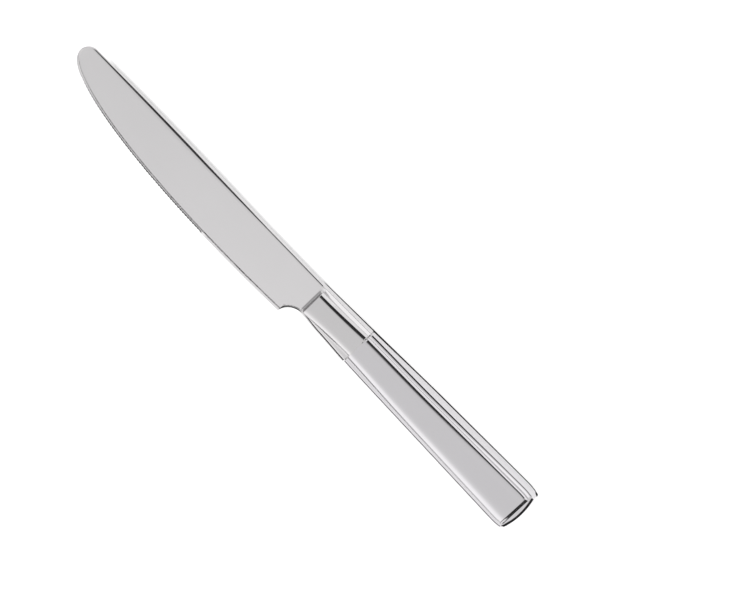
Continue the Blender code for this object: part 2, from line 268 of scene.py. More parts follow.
# Light: degrees round the knife's length, from straight up towards the cutting edge, and the level there
LIGHT_STOPS = (
    (-110, 1.0), (-60, 1.20), (-53, 1.20), (-47, 0.03), (-5, 0.03),
    (2, 0.84), (14, 0.89), (21, 0.863), (24, 0.915), (27, 0.975),
    (35, 1.40), (46, 1.40), (52, 0.03), (66, 0.03), (71, 1.2),
)
STOPS_REACH = (0.20, 0.32)  # slant towards an end over which they turn to white

# Darker patches towards both ends: ranges of the light's direction, and the level left
PATCH_PLACE = 0.35
TIP_PATCH = (0.30, 0.60, 1.0, 0.48)
TIP_PATCH_SIDE = (0.20, 0.34)
BUTT_PATCH = (-0.30, -0.45, 1.0, 0.03)
BUTT_PATCH_SIDE = (0.31, 0.41)
BUTT_PATCH_TOP = (0.44, 0.50)

# Camera: elevation, roll, the place that it looks at and the picture's width there
VIEW_ELEVATION = math.radians(69.6)
VIEW_ROLL = math.radians(134.07)
VIEW_TARGET = Vector((TIP - 0.12496, -0.01402, 0.004))
VIEW_WIDTH = 0.241536
CLIP_START = 0.01


def length(name, description, default):
    """A length in metres that the panel shows."""
    limits = {"min": 0.0, "precision": 5, "unit": "LENGTH"}
    return FloatProperty(name=name, description=description, default=default, **limits)


def colour(name, description, default):
    """A colour that the panel shows."""
    limits = {"min": 0.0, "max": 1.0, "subtype": "COLOR"}
    return FloatVectorProperty(name=name, description=description, default=default, **limits)


def factor(name, description, default, top=1.0):
    """A plain number that the panel shows."""
    return FloatProperty(name=name, description=description, default=default, min=0.0, max=top)


class KnifeSizes(bpy.types.PropertyGroup):
    """Sizes of the forging and the handle."""

    blade_length: length("Blade length", "Tip to bolster", 0.1126)
    shoulder_width: length("Shoulder width", "Width where blade and bolster meet", 0.0126)
    tip_radius: length("Tip radius", "Round of the spine into the tip", 0.0041)
    belly_setback: length("Belly setback", "From the tip to the blade's widest place", 0.0760)
    heel_radius: length("Heel radius", "Radius of the hollow behind the heel", 0.0064)
    spine_thickness: length("Spine thickness", "Thickness of the spine at the bolster", 0.0025)
    spine_round: length("Spine round", "Reach of the round onto the blade's face", 0.00065)
    edge_bevel: length("Edge bevel", "Width of the ground bevel at the plain edge", 0.0010)
    tooth_pitch: length("Tooth pitch", "Distance from tooth to tooth", 0.0012)
    tooth_depth: length("Tooth depth", "Depth of the scallops between teeth", 0.00028)
    teeth_length: length("Toothed length", "Toothed stretch of the edge", 0.0636)
    cove_length: length("Cove length", "Length of the hollow from blade to bolster", 0.0016)
    shoulder_thickness: length("Shoulder thickness", "Thickness of the bolster at its front", 0.0068)
    waist_thickness: length("Waist thickness", "Thickness at the grip's waist", 0.0053)
    swell_length: length("Swell length", "Length of the rise to full thickness", 0.0360)
    butt_width: length("Butt width", "Width of the handle at the panel's end", 0.0166)
    ledge_width: length("Ledge width", "Width of the ledge beside the raised panel", 0.00155)
    step_height: length("Step height", "Height of the panel's middle over the ledge", 0.0013)
    panel_roll: length("Panel roll", "Fall of the panel's face to its rim", 0.00041)
    butt_band: length("Butt band", "Length of the band behind the raised panel", 0.0020)


class KnifeFinish(bpy.types.PropertyGroup):
    """Colours and polish of the materials."""

    blade_colour: colour("Blade", "Colour of the blade steel", (0.630, 0.617, 0.624))
    handle_colour: colour("Handle", "Colour of the handle steel", (0.632, 0.618, 0.636))
    braze_colour: colour("Braze", "Colour of the braze", (0.62, 0.605, 0.60))
    cement_colour: colour("Cement", "Colour of the setting cement", (0.42, 0.40, 0.37))
    blade_roughness: factor("Blade roughness", "Roughness of the brushed blade", 0.14)
    handle_roughness: factor("Handle roughness", "Roughness of the polished handle", 0.08)


class KnifeStudio(bpy.types.PropertyGroup):
    """Floor, light and camera."""

    floor_colour: colour("Floor", "Colour of the floor", (0.80, 0.80, 0.80))
    floor_glow: factor("Floor glow", "Light that the floor gives off", 0.60, 5.0)
    light_strength: factor("Light", "Strength of the studio light", 1.0, 10.0)
    lens: FloatProperty(name="Lens", description="Focal length", default=150.0, min=1.0, unit="CAMERA")


def mix(first, second, share):
    """Value a share of the way from first to second."""
    return first + (second - first) * share


def smooth(low, high, value):
    """Share of the way from low to high, eased at both ends: 3t^2 - 2t^3."""
    t = np.clip((value - low) / (high - low), 0.0, 1.0)
    return t * t * (3.0 - 2.0 * t)


def pair(y, z):
    """Points of a section from their y and z."""
    return np.stack([y, z], axis=-1)


def conic(start, corner, end, steps, fullness=math.sqrt(0.5)):
    """Rounded corner from start to end, tangent to both legs, as (rows, steps, 2).

    P(t) = ((1-t)^2 A + 2w t(1-t) C + t^2 B) / ((1-t)^2 + 2w t(1-t) + t^2). A fullness w of cos 45 deg draws
    a quarter of an ellipse, and less flattens the corner to a bevel.
    """
    t = np.linspace(0.0, 1.0, steps)[None, :, None]
    first = (1.0 - t) ** 2
    middle = 2.0 * fullness * t * (1.0 - t)
    last = t ** 2
    top = first * start[:, None] + middle * corner[:, None] + last * end[:, None]
    return top / (first + middle + last)


def bend(start, corner, end, steps):
    """Rounded corner of a single path, as (steps, 2)."""
    return conic(np.array([start]), np.array([corner]), np.array([end]), steps)[0]


def upright(top, shares):
    """Points below each top at shares of its height, as (rows, points, 2)."""
    return top[:, None] * pair(np.ones(len(shares)), np.array(shares))[None]


def side_of_section(half, base, ledge, top, foot, rim, roll, legs):
    """One side of a stepped section, from its base at the side to the axis, as (rows, points, 2).

    The side stands at y = half. A rounded corner leads to the ledge at z = ledge, and a wall rises from
    y = half - foot to the rim at y = half - rim. The face lies at z = top - roll t^3, with t from 0 on the
    flat to 1 at the rim.
    """
    side_leg, ledge_leg, foot_leg, rim_leg, face_leg, tilt, fullness = legs
    edge = half - rim
    flat = PANEL_FLAT * edge

    def at(y, z):
        return np.stack(np.broadcast_arrays(y, z, half)[:2], axis=-1)

    def face(y):
        t = np.clip((y.T - flat) / (edge - flat), 0.0, None)
        return (top - roll * t ** 3).T

    inner = edge - face_leg
    slope = 3.0 * roll * (inner - flat) ** 2 / (edge - flat) ** 3
    rim_corner = at(edge, face(inner) - slope * face_leg)
    foot_corner = at(half - foot, ledge)
    rise = rim_corner - foot_corner
    rise = rise / np.linalg.norm(rise, axis=-1, keepdims=True)
    outer = ledge + tilt
    inward = at(half - ledge_leg, mix(outer, ledge, ledge_leg / foot))
    corner = conic(at(half, outer - side_leg), at(half, outer), inward, CORNER_POINTS, fullness)
    near = at(half - foot + foot_leg, mix(ledge, outer, foot_leg / foot))
    valley = conic(near, foot_corner, foot_corner + rise * foot_leg, FOOT_POINTS)
    lip = conic(rim_corner - rise * rim_leg, rim_corner, at(inner, face(inner)), RIM_POINTS)
    y = inner[:, None] * np.linspace(1.0, 0.0, CROWN_POINTS + 1)[None, 1:]
    crown = pair(y, face(y))
    side = mix(at(half, base)[:, None], corner[:, :1], np.array(STEP_SHARES)[None, :, None])
    t = np.linspace(0.0, 1.0, LEDGE_POINTS + 2)[None, 1:-1, None]
    ledge_run = mix(corner[:, -1:], valley[:, :1], t)
    return np.concatenate([side, corner, ledge_run, valley, lip, crown], axis=1)


def stepped_section(half, base, ledge, top, spine_side, edge_side, swell, lift=0.0):
    """Upper half of a stepped section from the spine side to the edge side, as (rows, points, 2).

    Each side is given as the distances of the wall's foot and rim from the outline, its roll and its legs.
    The edge side's outline stands out by a swell, while its wall stays in place, and its ledge can be lifted.
    """
    foot, rim, roll, legs = edge_side
    spine_sizes = np.broadcast_arrays(half, base, ledge, top, *spine_side[:3])
    edge_sizes = np.broadcast_arrays(half + swell, base, ledge + lift, top, foot + swell, rim + swell, roll)
    spine = side_of_section(*spine_sizes, spine_side[3]) * (-1.0, 1.0)
    edge = side_of_section(*edge_sizes, legs)
    return np.concatenate([spine, edge[:, -2::-1]], axis=1)


def half_width(x, sizes):
    """Half the width of bolster and handle: a straight flare, drawn in by a parabola at the butt."""
    front = TIP - sizes.blade_length
    share = (front - x) / (front - (BUTT + sizes.butt_band + END_RUN))
    drawn = np.clip((BUTT + CORNER_LENGTH - x) / CORNER_LENGTH, 0.0, None)
    return mix(sizes.shoulder_width, sizes.butt_width, share) / 2.0 - CORNER_DRAW * drawn ** 2


def edge_swell(x, sizes):
    """How far the edge side stands out round the joint of bolster and handle, with both ends eased."""
    front = TIP - sizes.blade_length
    swell_end = WAIST - sizes.swell_length
    return EDGE_SWELL * smooth(0.0, SWELL_RUN, front - x) * smooth(swell_end, MOUTH, x)


def half_thickness(x, sizes):
    """Half the thickness: a parabola from waist to shoulder, and 3t^2 - 2t^3 from waist to swell."""
    front = TIP - sizes.blade_length
    body = CAD_BOX[1].z - CAD_BOX[0].z
    rise = np.clip((x - WAIST) / (front - WAIST), 0.0, None)
    ahead = mix(sizes.waist_thickness, sizes.shoulder_thickness, rise ** 2)
    behind = mix(sizes.waist_thickness, body, smooth(0.0, sizes.swell_length, WAIST - x))
    return np.where(x > WAIST, ahead, behind) / 2.0


def handle_section(x, sizes, base, inner=False):
    """Upper half of the handle's section at stations x, on its outer or its inner face."""
    sunk = WALL if inner else 0.0
    legs = (INNER_ROUND, INNER_ROUND) if inner else (SPINE_ROUND, EDGE_ROUND)
    top = half_thickness(x, sizes)
    half = half_width(x, sizes) - sunk
    ledge = top - sizes.step_height - sunk
    wall = (sizes.ledge_width, sizes.ledge_width + WALL_RUN)
    fine = smooth(BUTT + FINE_FROM[0], BUTT + FINE_FROM[1], x)
    outer = [leg * mix(*FINE_LEGS, fine) for leg in legs[0][:2]]
    spine_side = (*wall, sizes.panel_roll * mix(*FINE_ROLL, fine), (*outer, *legs[0][2:]))
    edge_side = (*wall, EDGE_ROLL * sizes.panel_roll, legs[1])
    return stepped_section(half, base, ledge, top - sunk, spine_side, edge_side, edge_swell(x, sizes))


def bolster_section(x, sizes):
    """Upper half of the bolster's section: a raised face whose rim draws in from shoulder to handle."""
    front = TIP - sizes.blade_length
    share = (front - x) / (front - BOLSTER_REAR)
    bow = 4.0 * share * (1.0 - share)
    half = half_width(x, sizes)
    top = half_thickness(x, sizes)
    rear = half_thickness(np.array(BOLSTER_REAR), sizes) - sizes.step_height
    ledge = mix(sizes.spine_thickness / 2.0 - SPINE_CHAMFER, rear, share)
    crease = CREASE_INSET + CREASE_SWELL * bow
    spine_side = (crease - BOLSTER_RUN, crease, sizes.panel_roll, CREASE_ROUND)
    facet = mix(SHOULDER_LEDGE, REAR_LEDGE, share) + LEDGE_SWELL * bow
    rising = smooth(FACET_START, 1.0, share)
    roll = FACET_ROLL * sizes.panel_roll
    edge_side = (facet - mix(BOLSTER_RUN, REAR_RUN, rising), facet, roll, FACET_ROUND)
    lift = FACET_RISE * (top - roll - ledge) * rising
    return stepped_section(half, 0.0, ledge, top, spine_side, edge_side, edge_swell(x, sizes), lift)


def spine_line(d, sizes):
    """Spine's y at a distance d behind the tip: a shallow sine bow, with a quarter circle down to the tip."""
    radius = sizes.tip_radius
    line = -sizes.shoulder_width / 2.0 - spine_bow(d)
    return line + radius - np.sqrt(radius ** 2 - np.clip(radius - d, 0.0, None) ** 2)


def spine_bow(d):
    """How far the spine stands out from the straight at a distance d behind the tip."""
    return SPINE_BOW * np.sin(np.pi * np.clip(d / BOW_LENGTH, 0.0, 1.0))


def edge_line(d, sizes):
    """Plain cutting edge's y: a superellipse from tip to belly, then a parabola that rises to the heel."""
    foremost = -sizes.shoulder_width / 2.0 + sizes.tip_radius
    t = np.clip(1.0 - d / sizes.belly_setback, 0.0, None)
    back = np.clip((d - sizes.belly_setback) / (sizes.blade_length - sizes.belly_setback), 0.0, None)
    return mix(foremost, BELLY_DEPTH, (1.0 - t ** 2) ** (1.0 / EDGE_FULLNESS)) - HEEL_RISE * back ** 2


def heel_line(d, sizes):
    """Hollow's y behind the heel: a quarter circle that meets the bolster's side."""
    radius = sizes.heel_radius
    away = np.clip(sizes.blade_length - d, 0.0, radius)
    return sizes.shoulder_width / 2.0 + radius - np.sqrt(radius ** 2 - away ** 2)


def heel_place(sizes):
    """Distance behind the tip at which the cutting edge runs into the hollow."""
    d = np.linspace(sizes.blade_length - sizes.heel_radius, sizes.blade_length, HEEL_TRIES)
    return d[np.argmax(heel_line(d, sizes) < edge_line(d, sizes))]


def blade_section(d, sizes, shares):
    """Upper half of the blade's section at distances d behind the tip, as (rows, points, 2).

    The face is a straight wedge from the rounded spine to the bevel. The scallops between teeth reach
    depth |sin(pi p)| into the bevel, p being the phase along the toothed stretch.
    """
    spine = spine_line(d, sizes)
    plain = edge_line(d, sizes)
    hollow = d > heel_place(sizes)
    phase = (d - TEETH_SETBACK) / sizes.tooth_pitch
    keen = d <= TEETH_SETBACK + sizes.teeth_length
    scallop = np.where(keen & (phase >= 0.0), sizes.tooth_depth * np.abs(np.sin(np.pi * phase)), 0.0)
    edge = np.where(hollow, heel_line(d, sizes), plain - scallop)
    width = edge - spine
    away = np.clip(sizes.blade_length - d, 0.0, HEEL_LIMIT * sizes.heel_radius) / sizes.heel_radius
    chamfer = HEEL_CHAMFER / np.sqrt(1.0 - away ** 2)
    bevel = np.where(keen, TOOTH_BEVEL, sizes.edge_bevel)
    bevel = np.minimum(np.where(hollow, chamfer, bevel), WIDTH_LIMIT * width)
    sharp = np.where(keen, EDGE_THICKNESS, PLAIN_THICKNESS) / 2.0
    thick = mix(TIP_THICKNESS, sizes.spine_thickness, 1.0 - (1.0 - d / sizes.blade_length) ** 2)

    def face(y):
        share = (plain - y.T) / (plain - spine)
        return mix(GRIND_THICKNESS, thick, share).T / 2.0

    reach = np.minimum(sizes.spine_round + BOW_WIDENING * spine_bow(d), WIDTH_LIMIT * width)
    low = spine + reach
    ground_from = np.where(hollow, edge, plain) - bevel
    high = np.where(hollow, ground_from, np.minimum(plain - sizes.edge_bevel, ground_from)) - BEVEL_MARGIN
    high = np.maximum(high, mix(spine, edge, FACE_SHARE))
    crest = face(spine)
    start = pair(spine, crest - np.minimum(BACK_FALL * reach, BACK_LIMIT * crest))
    corner = pair(spine, crest)
    end = pair(low, face(low))
    back = conic(start, corner, end, CORNER_POINTS)
    side = upright(start, SIDE_SHARES)
    y = mix(low[:, None], high[:, None], shares[None])
    cheek = pair(y, face(y))
    last = mix(sharp, face(ground_from), scallop / bevel)
    lowered = np.maximum(face(edge) - HEEL_DROP, EDGE_THICKNESS / 2.0)
    last = np.where(hollow, lowered, last)
    t = np.linspace(0.0, 1.0, CORNER_POINTS - 1)[None]
    y = mix(ground_from[:, None], edge[:, None], t)
    ground = pair(y, mix(face(ground_from)[:, None], last[:, None], t))
    y = mix(high, ground_from, 0.5)[:, None]
    ground = np.concatenate([pair(y, face(y)), ground], axis=1)
    foot = upright(ground[:, -1], SIDE_SHARES[::-1])
    return np.concatenate([side, back, cheek, ground, foot], axis=1)


def tang_section(x, shares):
    """Upper half of the tang's section: a chamfered bar with notches, as (rows, points, 2)."""
    away = BOLSTER_REAR - x
    reach = BOLSTER_REAR - TANG_END
    place = (away - NOTCH_PITCH) / NOTCH_PITCH
    near = np.abs(place - np.clip(np.round(place), 0.0, NOTCHES - 1.0)) * NOTCH_PITCH
    notch = NOTCH_DEPTH * (1.0 - smooth(NOTCH_LENGTH / 4.0, NOTCH_LENGTH / 2.0, near))
    half = (TANG_WIDTH - TANG_TAPER * away / reach) / 2.0 - notch
    top = np.full_like(half, TANG_THICKNESS / 2.0)
    start = pair(half, top - TANG_CHAMFER)
    end = pair(half - TANG_CHAMFER, top)
    corner = conic(start, pair(half, top), end, CORNER_POINTS)
    side = upright(start, SIDE_SHARES)
    high = np.concatenate([side, corner], axis=1)
    y = end[:, :1] * (2.0 * shares - 1.0)[None]
    face = pair(y, np.broadcast_to(top[:, None], y.shape))
    return np.concatenate([high * (-1.0, 1.0), face, high[:, ::-1]], axis=1)


def sink(section, depth):
    """Section with its outline drawn in by depth at the ledges, and not at all in the middle of the face."""
    y = section[..., 0]
    half = np.abs(y).max(axis=1, keepdims=True)
    top = section[..., 1].max(axis=1, keepdims=True)
    spine_side = smooth(*SINK_SPINE, -y / half)
    edge_side = SINK_SHARE * smooth(*SINK_EDGE, y / half)
    share = np.maximum(spine_side, edge_side) * np.asarray(depth)[:, None]
    return section * pair(1.0 - share / half, 1.0 - share / top)


def stand(x, section):
    """Points (rows, points, 3) of a section at stations x, with its heights made world heights."""
    x = np.broadcast_to(x, section.shape[:2])
    return np.stack([x, section[..., 0], section[..., 1] + MIDDLE], axis=-1)


def whole(section):
    """Closed section: the upper half, and its mirror image below the middle plane."""
    return np.concatenate([section, section[..., -2:0:-1, :] * (1.0, -1.0)], axis=-2)


def skin(rows, columns, closed):
    """Four-cornered faces over a grid of points. Closed means that the last column meets the first."""
    row = np.arange(rows - 1)[:, None] * columns
    column = np.arange(columns if closed else columns - 1)[None]
    beside = (column + 1) % columns
    corners = [row + column, row + beside, row + columns + beside, row + columns + column]
    return np.stack(corners, axis=-1).reshape(-1, 4)


def tube(points):
    """Faces over a grid whose last column meets its first, and one face over each end."""
    rows, columns = points.shape[:2]
    first = np.arange(columns)
    return skin(rows, columns, True), (first[::-1], (rows - 1) * columns + first)


def add_piece(name, points, quads, caps, nodes, material, marks=None):
    """New closed surface that rides on the knife's body and stands for CAD nodes.

    Faces are turned outward, and points that fall on one place are merged.
    """
    points = points.reshape(-1, 3)
    corners = points[quads]
    spread = np.cross(corners[:, 2] - corners[:, 0], corners[:, 3] - corners[:, 1])
    volume = np.einsum("ij,ij->i", corners.mean(axis=1) - points.mean(axis=0), spread).sum()
    turn = -1 if volume < 0.0 else 1
    faces = quads[:, ::turn].tolist() + [cap[::turn].tolist() for cap in caps]
    mesh = bpy.data.meshes.new(name)
    mesh.from_pydata(points.tolist(), [], faces)
    for mark, values in (marks or {}).items():
        attribute = mesh.attributes.new(mark, "FLOAT", "POINT")
        attribute.data.foreach_set("value", values.ravel().astype(np.float32))
    if mesh.validate():
        raise RuntimeError("faces of " + name + " do not hold")
    merged = bmesh.new()
    merged.from_mesh(mesh)
    bmesh.ops.remove_doubles(merged, verts=merged.verts, dist=SAME_PLACE)
    merged.to_mesh(mesh)
    merged.free()
    mesh.shade_smooth()
    mesh.set_sharp_from_angle(angle=SHARP_ANGLE)
    mesh.materials.append(material)
    piece = bpy.data.objects.new(name, mesh)
    bpy.context.scene.collection.objects.link(piece)
    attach(piece, "root")
    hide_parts(*nodes)


def blade_stations(sizes):
    """Distances of the blade's rows behind the tip, closer together at the tip, the teeth and the heel."""
    heel = heel_place(sizes)
    heel_turn = math.asin((sizes.blade_length - heel - HEEL_STEP) / sizes.heel_radius)
    cove_turn = math.asin(sizes.cove_length / sizes.heel_radius)
    turn = np.linspace(heel_turn, cove_turn, HEEL_ROWS)[:-1]
    teeth = np.arange(round(sizes.teeth_length / sizes.tooth_pitch) * TOOTH_ROWS) / TOOTH_ROWS
    return np.concatenate([
        sizes.tip_radius * (1.0 - np.cos(np.linspace(TIP_START, np.pi / 2.0, TIP_ROWS))),
        np.linspace(sizes.tip_radius, TEETH_SETBACK, NOSE_ROWS)[1:-1],
        TEETH_SETBACK + sizes.tooth_pitch * teeth,
        np.linspace(TEETH_SETBACK + sizes.teeth_length, heel, PLAIN_ROWS),
        sizes.blade_length - sizes.heel_radius * np.sin(turn),
    ])


def cove_rows(sizes, shares):
    """Stations x, sections and shares of the way to the bolster of the cove's rows.

    A hollow quarter leads from the blade's face up to the bolster, and a small round onto its face.
    """
    front = TIP - sizes.blade_length
    reach = sizes.cove_length
    rise = bend((0.0, 0.0), (reach, 0.0), (reach, COVE_TOP), COVE_ROWS)
    over = bend((reach, COVE_TOP), (reach, 1.0), (reach + COVE_ROUND, 1.0), OVER_ROWS)[1:]
    u, lift = np.concatenate([rise, over]).T
    x = front + reach - u
    low = blade_section(np.minimum(TIP - x, sizes.blade_length), sizes, shares)
    high = bolster_section(np.minimum(x, front), sizes)
    across = np.clip(u / reach, 0.0, 1.0)[:, None]
    raised = np.broadcast_to(lift[:, None], high.shape[:2]).copy()
    raised[:, :OUTER_POINTS] = across
    raised[:, -OUTER_POINTS:] = across
    y = mix(low[..., 0], high[..., 0], across)
    z = mix(low[..., 1], high[..., 1], raised)
    return x, pair(y, z), smooth(0.0, reach, u)


def forging_rows(sizes):
    """Stations x and upper half sections of the forging from the tip to the end of the tang, and two marks.

    The first mark says where it is brightly polished, the second where the heel's chamfer takes painted
    shade, a dark colour.
    """
    front = TIP - sizes.blade_length
    block = bolster_section(np.array([front]), sizes)[0, OUTER_POINTS:-OUTER_POINTS, 0]
    shares = (block - block[0]) / (block[-1] - block[0])
    d = blade_stations(sizes)
    blade = blade_section(d, sizes, shares)
    cove_x, cove, bright = cove_rows(sizes, shares)

    # Bolster, with its rear edge eased, and the tang behind it
    bolster_x = np.linspace(cove_x[-1], BOLSTER_REAR + REAR_EASE, BOLSTER_ROWS)[1:]
    bolster = bolster_section(bolster_x, sizes)
    turn = np.linspace(0.0, np.pi / 2.0, EASE_ROWS)[1:]
    eased_x = BOLSTER_REAR + REAR_EASE * (1.0 - np.sin(turn))
    eased = sink(bolster_section(eased_x, sizes), REAR_SINK * (1.0 - np.cos(turn)))
    tang_x = np.linspace(BOLSTER_REAR, TANG_END, TANG_ROWS)
    tang = tang_section(tang_x, shares)
    x = np.concatenate([TIP - d, cove_x, bolster_x, eased_x, tang_x])
    section = np.concatenate([blade, cove, bolster, eased, tang])

    # Marks
    behind = np.ones(len(x) - len(d) - len(cove_x))
    polish = np.concatenate([np.zeros_like(d), bright, behind])
    # Painted shade on the heel's chamfer: along the hollow, fading out over the cove, and across the section
    # only on the chamfer's points
    painted_shade = np.concatenate([d > heel_place(sizes), 1.0 - bright, np.zeros_like(behind)])
    chamfer = np.r_[np.zeros(section.shape[1] - DARK_POINTS - 1), DARK_BORDER, np.ones(DARK_POINTS)]
    return x, section, np.broadcast_to(polish[:, None], section.shape[:2]), painted_shade[:, None] * chamfer


def butt_path(reach):
    """Path from the band's front round the butt: distances behind it, and shares of the height left."""
    path = np.array(BUTT_PATH) * (reach, 1.0)
    first = mix(path[1], path[0], BUTT_BENDS[0])
    second = mix(path[1], path[2], BUTT_BENDS[1])
    third = mix(path[1], path[2], BUTT_BENDS[2])
    fourth = mix(path[2], path[3], BUTT_BENDS[3])
    return np.concatenate([
        np.linspace(path[0], first, BUTT_ROWS[0])[1:-1],
        bend(first, path[1], second, BUTT_ROWS[1]),
        np.linspace(second, third, BUTT_ROWS[2])[1:-1],
        bend(third, path[2], fourth, BUTT_ROWS[3]),
        np.linspace(fourth, path[3], BUTT_ROWS[4])[1:],
    ]).T


def shell_rows(sizes):
    """Outer and inner grids of the upper shell, (rows, points, 3) each, from the mouth to the butt's seam.

    Behind the panel its rise fades over the end ramp, then the band's fall is carried round the butt's bulge:
    x = front - u + bulge (y / half)^2, z = seam + (z - seam) w, with (u, w) the path round the butt.
    """
    band_front = BUTT + sizes.butt_band
    panel_end = band_front + END_RUN
    swell_end = WAIST - sizes.swell_length
    close_from = BUTT + CORNER_MARGIN * CORNER_LENGTH
    turn = np.linspace(np.pi / 2.0, 0.0, EASE_ROWS)
    eased_x = MOUTH - MOUTH_EASE * (1.0 - np.sin(turn))
    run_x = np.concatenate([
        eased_x,
        np.linspace(eased_x[-1], swell_end, SWELL_ROWS)[1:],
        np.linspace(swell_end, close_from, PANEL_ROWS)[1:],
        np.linspace(close_from, panel_end, CLOSE_ROWS)[1:],
    ])
    ramp = np.linspace(0.0, 1.0, RAMP_ROWS)[1:]
    u, w = butt_path(sizes.butt_band)
    x = np.concatenate([run_x, panel_end - END_RUN * ramp, band_front - u])
    fade = 1.0 - mix(smooth(0.0, 1.0, ramp), ramp, RAMP_STRAIGHT)
    rise = np.concatenate([np.ones_like(run_x), fade, np.zeros_like(u)])[:, None]
    fall = np.concatenate([np.ones_like(run_x), np.ones_like(ramp), w])[:, None]

    # Outer face
    section = handle_section(x, sizes, SEAM)
    section = sink(section, np.r_[MOUTH_SINK * (1.0 - np.cos(turn)), np.zeros(len(x) - len(turn))])
    y, z = np.moveaxis(section, -1, 0)
    ledge = (half_thickness(x, sizes) - sizes.step_height)[:, None]
    rim = (half_width(x, sizes) - sizes.ledge_width - WALL_RUN)[:, None]
    crown = BAND_RISE + BAND_CROWN * np.clip(1.0 - (y / rim) ** 2, 0.0, None)
    z = np.where(z > ledge, ledge + mix(crown, z - ledge, rise), z)
    z = SEAM + (z - SEAM) * fall
    across = np.clip(np.abs(y) / half_width(np.array(BUTT), sizes), 0.0, BULGE_LIMIT)
    beyond = np.clip(band_front - x, 0.0, None)[:, None]
    beyond = beyond - BUTT_BULGE * across ** 2 * np.clip(2.0 * beyond / sizes.butt_band, 0.0, 1.0)
    outer = stand(np.maximum(x, band_front)[:, None] - beyond, pair(y, z))

    # Inner face, which comes down to the seam ahead of the butt
    inner_x = np.maximum(x, panel_end + WALL)
    hollow = handle_section(inner_x, sizes, SEAM, True)
    left = np.clip(np.linspace(1.0, 0.0, len(x)) * len(x) / (len(ramp) + len(u)), 0.0, 1.0)
    hollow[..., 1] = SEAM + (hollow[..., 1] - SEAM) * left[:, None]
    return outer, stand(inner_x[:, None], hollow)


def rim_of(grid):
    """Border of a shell's grid along the seam: down one side, across the butt and up the other side."""
    return np.concatenate([grid[:, 0], grid[-1, 1:], grid[-2::-1, -1]])


def add_node(tree, kind, sockets=None, **settings):
    """New shader node with its settings, and its sockets filled with values or with outputs."""
    made = tree.nodes.new("ShaderNode" + kind)
    for name, value in settings.items():
        setattr(made, name, value)
    for name, value in (sockets or {}).items():
        if isinstance(value, bpy.types.NodeSocket):
            tree.links.new(value, made.inputs[name])
        else:
            made.inputs[name].default_value = value
    return made


def blank_material(name):
    """New node material: itself, its tree, its output's surface and the place on the object."""
    material = bpy.data.materials.new(name)
    material.use_nodes = True
    tree = material.node_tree
    tree.nodes.clear()
    surface = add_node(tree, "OutputMaterial").inputs["Surface"]
    return material, tree, surface, add_node(tree, "TexCoord").outputs["Object"]


def streaks(place, scale, turn, detail):
    """Noise drawn out along one direction: fine lines as a polishing wheel leaves them."""
    sockets = {"Vector": place, "Rotation": (0.0, 0.0, turn), "Scale": scale}
    mapped = add_node(place.id_data, "Mapping", sockets).outputs["Vector"]
    return speckle(mapped, 1.0, detail)


def speckle(place, scale, detail):
    """Cloudy noise of a scale and a detail."""
    sockets = {"Vector": place, "Scale": scale, "Detail": detail}
    return add_node(place.id_data, "TexNoise", sockets).outputs["Fac"]


def ranged(value, low, high, first=0.0, last=1.0):
    """Value carried from one range to another and held inside it."""
    sockets = {"Value": value, "From Min": low, "From Max": high, "To Min": first, "To Max": last}
    return add_node(value.id_data, "MapRange", sockets, clamp=True).outputs["Result"]


def calc(first, second, operation="ADD"):
    """Result of an operation on two values."""
    tree = (first if isinstance(first, bpy.types.NodeSocket) else second).id_data
    return add_node(tree, "Math", {0: first, 1: second}, operation=operation).outputs["Value"]


def at_least(value, guide, *ranges):
    """Value, or a guide carried to its range where that is larger."""
    return calc(value, ranged(guide, *ranges), "MAXIMUM")


def blend(share, first, second):
    """Colour a share of the way from first to second."""
    made = add_node(share.id_data, "Mix", {"Factor": share}, data_type="RGBA")
    made.inputs["A"].default_value = first
    made.inputs["B"].default_value = second
    return made.outputs["Result"]


def shade_surface(tree, surface, sockets):
    """Shader with its sockets filled, led to the material's surface."""
    tree.links.new(add_node(tree, "BsdfPrincipled", sockets).outputs["BSDF"], surface)


def steel(name, tint, roughness, brushing, marked=False):
    """Steel with fine lengthwise brushing, faint stray scratches and hand smudges.

    Where the surface is marked for it, it turns to bright polish, or takes painted shade as a dark colour.
    """
    material, tree, surface, place = blank_material(name)
    brushed = streaks(place, *BRUSHED)
    stray = ranged(streaks(place, *STRAY), *STRAY_RANGE)
    cross = ranged(streaks(place, *CROSS), *CROSS_RANGE)
    scratch = calc(stray, cross)
    smudge = speckle(place, *SMUDGE)
    base = roughness
    strength = brushing
    tone = (*tint, 1.0)
    if marked:
        # Painted shade: a dark colour where the mark says so, with the roughness left as it is
        painted_shade = add_node(tree, "Attribute", attribute_name="painted_shade").outputs["Fac"]
        tone = blend(painted_shade, tone, CHAMFER_SHADE)
        polish = add_node(tree, "Attribute", attribute_name="polish").outputs["Fac"]
        base = ranged(polish, 0.0, 1.0, roughness, BRIGHT_ROUGHNESS)
        strength = ranged(polish, 0.0, 1.0, brushing, BRIGHT_BRUSHING)
    dull = calc(base, ranged(brushed, *BRUSH_ROUGHNESS))
    dull = calc(dull, ranged(smudge, *SMUDGE_ROUGHNESS))
    dull = calc(dull, calc(scratch, SCRATCH_ROUGHNESS, "MULTIPLY"))
    lines = calc(brushed, strength, "MULTIPLY")
    lines = calc(lines, calc(scratch, SCRATCH_DEPTH, "MULTIPLY"), "SUBTRACT")
    bump = add_node(tree, "Bump", {"Height": lines, **STEEL_BUMP}).outputs["Normal"]
    shade_surface(tree, surface, {"Base Color": tone, "Metallic": 1.0, "Roughness": dull, "Normal": bump})
    return material


def cement(name, tint):
    """Dull cement with grains of darker and lighter grit."""
    material, tree, surface, place = blank_material(name)
    grain = speckle(place, *GRIT)
    tone = blend(ranged(grain, *GRIT_SHADE), BLACK, (*tint, 1.0))
    bump = add_node(tree, "Bump", {"Height": grain, **GRIT_BUMP}).outputs["Normal"]
    shade_surface(tree, surface, {"Base Color": tone, "Roughness": CEMENT_ROUGHNESS, "Normal": bump})
    return material


